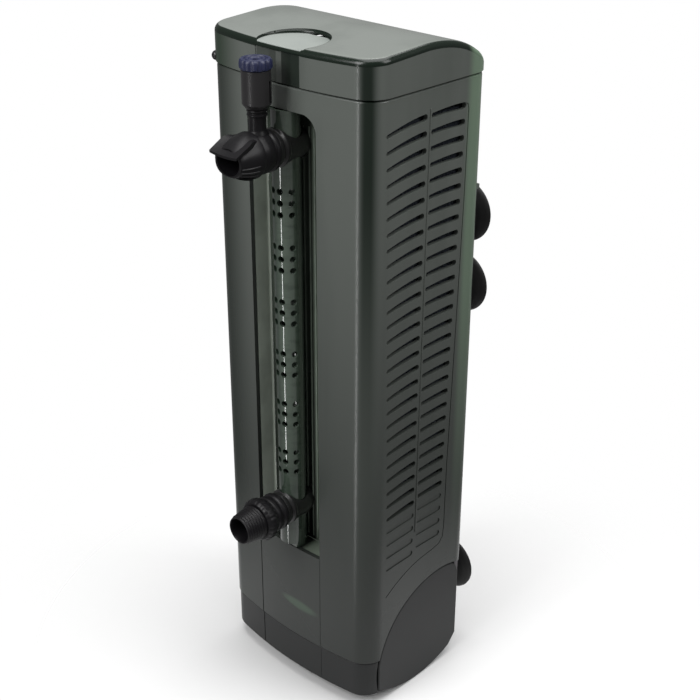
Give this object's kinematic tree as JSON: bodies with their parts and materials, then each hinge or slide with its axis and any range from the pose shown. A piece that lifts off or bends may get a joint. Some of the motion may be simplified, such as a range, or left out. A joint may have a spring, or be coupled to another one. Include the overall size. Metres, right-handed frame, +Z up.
{
  "type": "internal aquarium canister filter",
  "caption": "internal aquarium filter with a louvred smoke-green casing, front spray tube, swivel nozzle with air valve, threaded lower outlet and a suction-cup bracket",
  "frame": {"origin": "on the aquarium glass, centred between the suction cups, level with the foot of the front skirt", "axes": "+Z up; the front with the outlets faces -Y; the suction cups face +Y and touch the glass plane at y = 0; +X is the side on the right when facing the front from behind the part"},
  "size_m": [0.1026, 0.1241, 0.336],
  "materials": {
    "casing": "smoke-tinted, glossy, fine moulding marks",
    "clear_green": "translucent green, glossy",
    "neck_black": "satin",
    "base_grey": "satin",
    "knob_navy": "satin",
    "pin_steel": "brushed",
    "nozzle_plum": "satin",
    "foam": "open-cell, rough",
    "carbon": "granular",
    "ceramic": "matte, fired",
    "cup_rubber": "soft sheen",
    "motor_white": "satin",
    "copper": "enamelled wire",
    "bracket_grey": "satin"
  },
  "bodies": {
    "bracket": {"mounting_bracket": "bracket_grey", "suction_cup_1_right": "cup_rubber", "suction_cup_1_left": "cup_rubber", "suction_cup_2_right": "cup_rubber", "suction_cup_2_left": "cup_rubber", "suction_cup_3_right": "cup_rubber", "suction_cup_3_left": "cup_rubber"},
    "casing": {"casing_shell": "casing", "front_channel": "clear_green", "spray_tube": "clear_green", "upper_tee": "neck_black", "lower_tee": "neck_black", "base_skirt": "base_grey", "riser_duct": "base_grey", "lid_hinge_pin": "pin_steel", "media_tray": "base_grey", "foam_pad_right": "foam", "foam_pad_left": "foam", "carbon_cartridge_right": "carbon", "carbon_cartridge_left": "carbon", "media_basket": "base_grey", "bio_media": "ceramic"},
    "lid": {"lid": "casing", "lid_tab": "casing"},
    "selector": {"flow_selector": "knob_navy"},
    "nozzle_collar": {"nozzle_collar": "nozzle_plum", "air_valve_body": "nozzle_plum"},
    "air_knob": {"air_valve_knob": "knob_navy"},
    "nozzle": {"nozzle": "nozzle_plum"},
    "lower_outlet": {"lower_collar": "nozzle_plum", "threaded_outlet": "nozzle_plum"},
    "motor_unit": {"motor_housing": "base_grey", "motor_cover": "base_grey", "cable_gland": "cup_rubber", "rotor_well": "motor_white", "stator_core": "pin_steel", "coil_right": "copper", "coil_left": "copper", "lower_bushing": "cup_rubber", "upper_bushing": "cup_rubber", "impeller_shaft": "ceramic", "pump_cover": "base_grey"},
    "impeller": {"rotor_magnet": "neck_black", "impeller": "motor_white"}
  },
  "joints": [
    {"name": "casing_lift", "type": "slide", "parent": "bracket", "child": "casing", "axis": [0, 0, 1], "range_m": [0, 0.03]},
    {"name": "lid_hinge", "type": "hinge", "parent": "casing", "child": "lid", "pos_m": [0, -0.0077, 0.31215], "axis": [-1, 0, 0], "range_deg": [0, 70]},
    {"name": "selector_turn", "type": "hinge", "parent": "casing", "child": "selector", "pos_m": [0, -0.0693, 0.2844], "axis": [0, 0, 1], "range_deg": [-45, 45]},
    {"name": "collar_swing", "type": "hinge", "parent": "casing", "child": "nozzle_collar", "pos_m": [0, -0.0983, 0.2844], "axis": [0, -1, 0], "range_deg": [-60, 60]},
    {"name": "air_knob_turn", "type": "hinge", "parent": "nozzle_collar", "child": "air_knob", "pos_m": [0, -0.104, 0.3208], "axis": [0, 0, 1], "range_deg": [0, 270]},
    {"name": "nozzle_spin", "type": "hinge", "parent": "nozzle_collar", "child": "nozzle", "pos_m": [0, -0.1086, 0.2844], "axis": [0, -1, 0], "continuous": true},
    {"name": "outlet_turn", "type": "hinge", "parent": "casing", "child": "lower_outlet", "pos_m": [0, -0.0983, 0.0994], "axis": [0, -1, 0], "range_deg": [-90, 90]},
    {"name": "motor_release", "type": "hinge", "parent": "casing", "child": "motor_unit", "pos_m": [0, -0.0337, 0.0105], "axis": [1, 0, 0], "range_deg": [0, 30]},
    {"name": "impeller_spin", "type": "hinge", "parent": "motor_unit", "child": "impeller", "pos_m": [0, -0.0387, 0.036], "axis": [0, 0, 1], "continuous": true}
  ]
}
